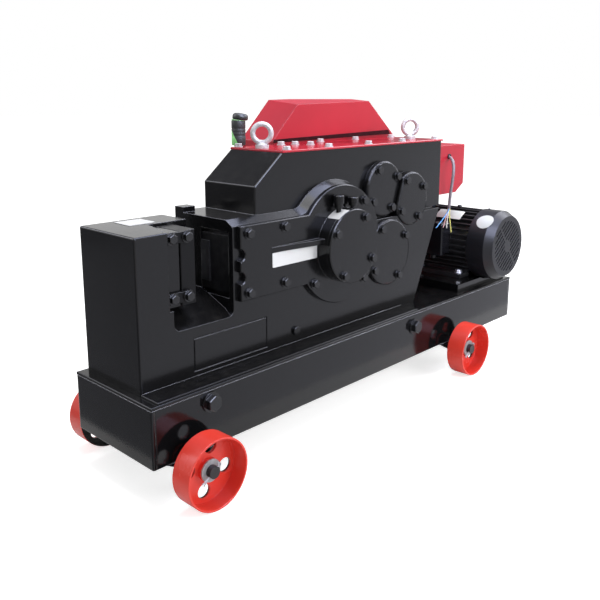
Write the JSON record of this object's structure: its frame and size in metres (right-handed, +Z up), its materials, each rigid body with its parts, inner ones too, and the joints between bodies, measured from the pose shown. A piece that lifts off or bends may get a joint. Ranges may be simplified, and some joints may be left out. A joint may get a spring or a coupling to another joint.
{
  "type": "rebar cutting machine",
  "caption": "Wheeled workshop machine that shears reinforcing bar: post and slide with blades, geared crank housing, belt hood, motor and switch box on a channel base.",
  "frame": {"origin": "middle of the machine outline, on the floor under the wheels", "axes": "+X from the cutting end to the motor end, -Y towards the side with the round covers, +Z up"},
  "size_m": [1.38, 0.475, 0.7744],
  "materials": {
    "black_paint": "gloss black enamel over casting and plate",
    "red_paint": "gloss red enamel on sheet metal",
    "wheel_red": "gloss orange-red enamel on cast wheels",
    "motor_black": "satin black paint on the motor",
    "fan_grey": "satin dark grey paint on pressed steel",
    "zinc": "bright zinc plate",
    "steel": "machined steel",
    "blade_steel": "ground tool steel",
    "iron": "bare cast iron",
    "bronze": "machined bronze",
    "belt_rubber": "black belt rubber",
    "grommet_rubber": "soft black rubber",
    "grey_sheath": "grey sheathing",
    "core_plastic": "coloured insulation",
    "grip_plastic": "black moulded plastic with pale green inlay",
    "green_plastic": "green moulded plastic",
    "red_plastic": "red moulded plastic"
  },
  "bodies": {
    "machine": {"base_side_channels": "black_paint", "base_cross_members": "black_paint", "deck_plate": "black_paint", "base_side_bolts": "black_paint", "axle_saddles": "black_paint", "axles": "steel", "wheel_retainers": "zinc", "body_casting": "black_paint", "slide_cover": "black_paint", "ram_guides": "bronze", "blade_support_block": "black_paint", "clamp_straps": "black_paint", "clamp_bolts": "black_paint", "fixed_blade": "blade_steel", "crank_covers": "black_paint", "input_covers": "black_paint", "gear_covers": "black_paint", "cover_bolts": "black_paint", "shaft_bushes": "bronze", "top_plate": "red_paint", "top_plate_bolts": "zinc", "lifting_eyes": "zinc", "oil_fittings": "black_paint", "belt_guard": "red_paint", "guard_back": "red_paint", "guard_studs": "zinc", "drive_belts": "belt_rubber", "motor_frame": "motor_black", "motor_shields": "motor_black", "fan_cover": "fan_grey", "motor_rails": "black_paint", "motor_bolts": "zinc", "terminal_box": "motor_black", "switch_box": "red_paint", "lead_grommet": "grommet_rubber", "supply_lead": "grey_sheath", "lead_cores": "core_plastic"},
    "crank": {"crankshaft": "steel", "crank_gear": "iron"},
    "third_gear_set": {"third_shaft": "steel", "third_gear": "iron"},
    "second_gear_set": {"second_shaft": "steel", "second_gear": "iron"},
    "input_set": {"input_shaft": "steel", "flywheel_pulley": "iron"},
    "rotor": {"motor_rotor": "steel", "motor_pulley": "iron"},
    "rod": {"conrod": "iron", "wrist_pin": "steel"},
    "slide": {"ram": "steel", "moving_blade": "blade_steel", "moving_blade_bolts": "steel"},
    "near_left_wheel": {"wheel_near_left": "wheel_red"},
    "near_right_wheel": {"wheel_near_right": "wheel_red"},
    "far_left_wheel": {"wheel_far_left": "wheel_red"},
    "far_right_wheel": {"wheel_far_right": "wheel_red"},
    "lever": {"clutch_lever": "black_paint", "clutch_grip": "grip_plastic"},
    "start": {"start_button": "green_plastic"},
    "stop": {"stop_button": "red_plastic"}
  },
  "joints": [
    {"name": "crank_turn", "type": "hinge", "parent": "machine", "child": "crank", "pos_m": [-0.093, 0, 0.429], "axis": [0, 1, 0], "continuous": true},
    {"name": "third_turn", "type": "hinge", "parent": "machine", "child": "third_gear_set", "pos_m": [0.10432, 0, 0.37723], "axis": [0, 1, 0], "continuous": true},
    {"name": "second_turn", "type": "hinge", "parent": "machine", "child": "second_gear_set", "pos_m": [0.09848, 0, 0.54463], "axis": [0, 1, 0], "continuous": true},
    {"name": "input_turn", "type": "hinge", "parent": "machine", "child": "input_set", "pos_m": [0.20863, 0, 0.5099], "axis": [0, 1, 0], "continuous": true},
    {"name": "motor_turn", "type": "hinge", "parent": "machine", "child": "rotor", "pos_m": [0.582, 0, 0.335], "axis": [0, 1, 0], "continuous": true},
    {"name": "rod_turn", "type": "hinge", "parent": "crank", "child": "rod", "pos_m": [-0.071, 0, 0.429], "axis": [0, 1, 0], "continuous": true},
    {"name": "ram_slide", "type": "slide", "parent": "machine", "child": "slide", "axis": [-1, 0, 0], "range_m": [0, 0.044]},
    {"name": "near_left_roll", "type": "hinge", "parent": "machine", "child": "near_left_wheel", "pos_m": [-0.598, -0.2125, 0.073], "axis": [0, 1, 0], "continuous": true},
    {"name": "near_right_roll", "type": "hinge", "parent": "machine", "child": "near_right_wheel", "pos_m": [0.35, -0.2125, 0.073], "axis": [0, 1, 0], "continuous": true},
    {"name": "far_left_roll", "type": "hinge", "parent": "machine", "child": "far_left_wheel", "pos_m": [-0.598, 0.1695, 0.073], "axis": [0, 1, 0], "continuous": true},
    {"name": "far_right_roll", "type": "hinge", "parent": "machine", "child": "far_right_wheel", "pos_m": [0.35, 0.1695, 0.073], "axis": [0, 1, 0], "continuous": true},
    {"name": "lever_swing", "type": "hinge", "parent": "machine", "child": "lever", "pos_m": [-0.224, 0.0985, 0.466], "axis": [0, 1, 0], "range_deg": [-24, 8]},
    {"name": "start_press", "type": "slide", "parent": "machine", "child": "start", "axis": [-1, 0, 0], "range_m": [0, 0.004], "stiffness_N_per_m": 400},
    {"name": "stop_press", "type": "slide", "parent": "machine", "child": "stop", "axis": [-1, 0, 0], "range_m": [0, 0.004], "stiffness_N_per_m": 400}
  ],
  "couplings": [
    {"joint": "third_turn", "follows": "crank_turn", "ratio": -3.25},
    {"joint": "second_turn", "follows": "crank_turn", "ratio": 8.8472},
    {"joint": "input_turn", "follows": "crank_turn", "ratio": -23.593},
    {"joint": "motor_turn", "follows": "crank_turn", "ratio": -89.804},
    {"joint": "rod_turn", "follows": "crank_turn", "ratio": -1}
  ]
}
